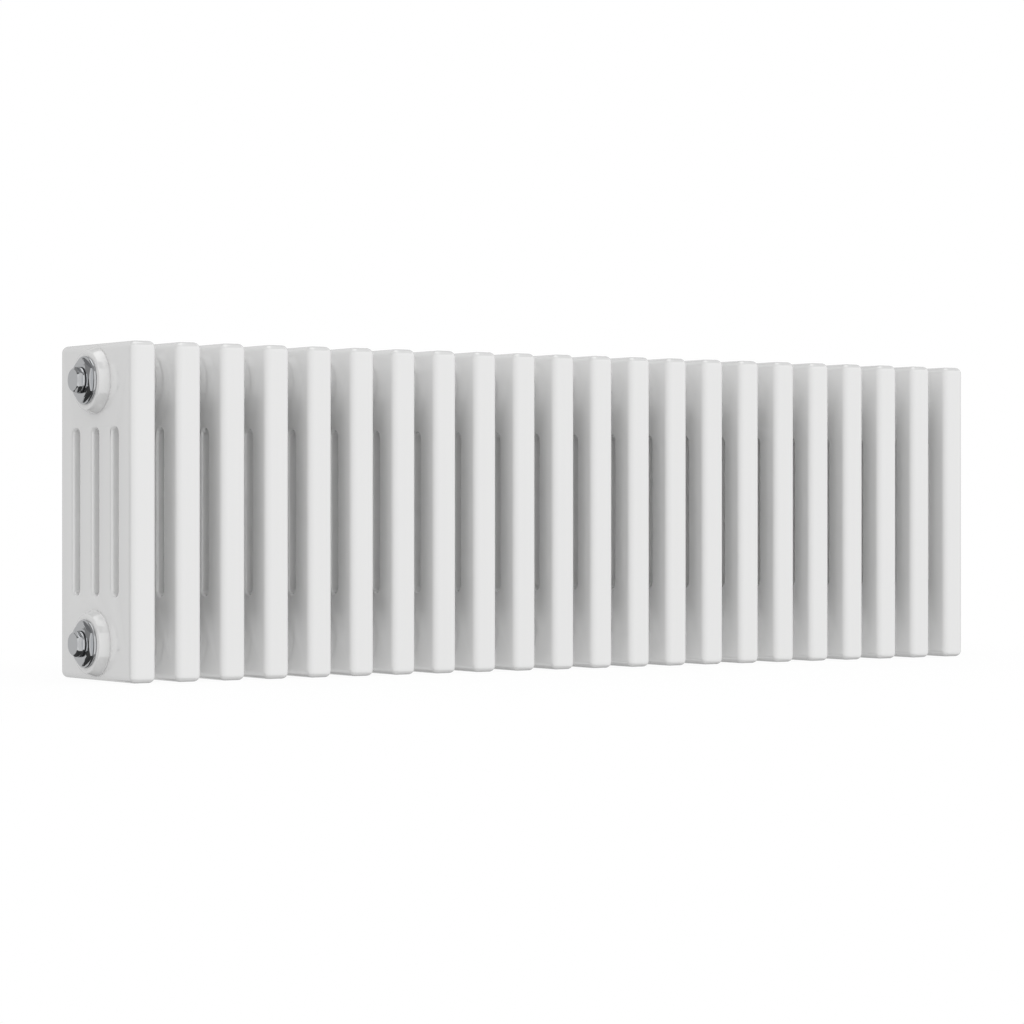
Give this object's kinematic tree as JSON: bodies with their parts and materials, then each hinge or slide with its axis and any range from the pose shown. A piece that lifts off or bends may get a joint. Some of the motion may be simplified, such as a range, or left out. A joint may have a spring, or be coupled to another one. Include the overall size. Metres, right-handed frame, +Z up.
{
  "type": "column radiator",
  "caption": "Low four-column radiator: hollow sections with slots between their columns, joined at hubs top and bottom, with chrome bushes, plugs and an air vent.",
  "frame": {"origin": "middle of the underside of the row of sections", "axes": "+X along the row towards the end with the air vent and the open port, -Y towards the room, +Y towards the wall, +Z up"},
  "size_m": [1.0144, 0.14, 0.3],
  "materials": {
    "white_enamel": "smooth glossy white enamel",
    "chrome": "polished chrome plate",
    "gasket": "dark grey fibre and rubber, matt",
    "nipple_iron": "bare machined malleable iron",
    "vent_brass": "machined brass"
  },
  "bodies": {
    "radiator": {"section_01": "white_enamel", "section_02": "white_enamel", "section_03": "white_enamel", "section_04": "white_enamel", "section_05": "white_enamel", "section_06": "white_enamel", "section_07": "white_enamel", "section_08": "white_enamel", "section_09": "white_enamel", "section_10": "white_enamel", "section_11": "white_enamel", "section_12": "white_enamel", "section_13": "white_enamel", "section_14": "white_enamel", "section_15": "white_enamel", "section_16": "white_enamel", "section_17": "white_enamel", "section_18": "white_enamel", "section_19": "white_enamel", "section_20": "white_enamel", "section_21": "white_enamel", "section_22": "white_enamel", "upper_nipple_run": "nipple_iron", "lower_nipple_run": "nipple_iron", "upper_left_bush_gasket": "gasket", "upper_left_bush": "chrome", "upper_right_bush_gasket": "gasket", "upper_right_bush": "chrome", "lower_left_bush_gasket": "gasket", "lower_left_bush": "chrome", "lower_right_bush_gasket": "gasket", "lower_right_bush": "chrome", "upper_left_plug_seal": "gasket", "upper_left_plug": "chrome", "lower_left_plug_seal": "gasket", "lower_left_plug": "chrome", "vent_plug_seal": "gasket", "vent_plug": "chrome"},
    "vent_spindle": {"vent_spindle": "vent_brass"}
  },
  "joints": [
    {"name": "vent_spindle_turn", "type": "hinge", "parent": "radiator", "child": "vent_spindle", "pos_m": [0.505, 0, 0.267], "axis": [1, 0, 0], "range_deg": [0, 270]}
  ]
}
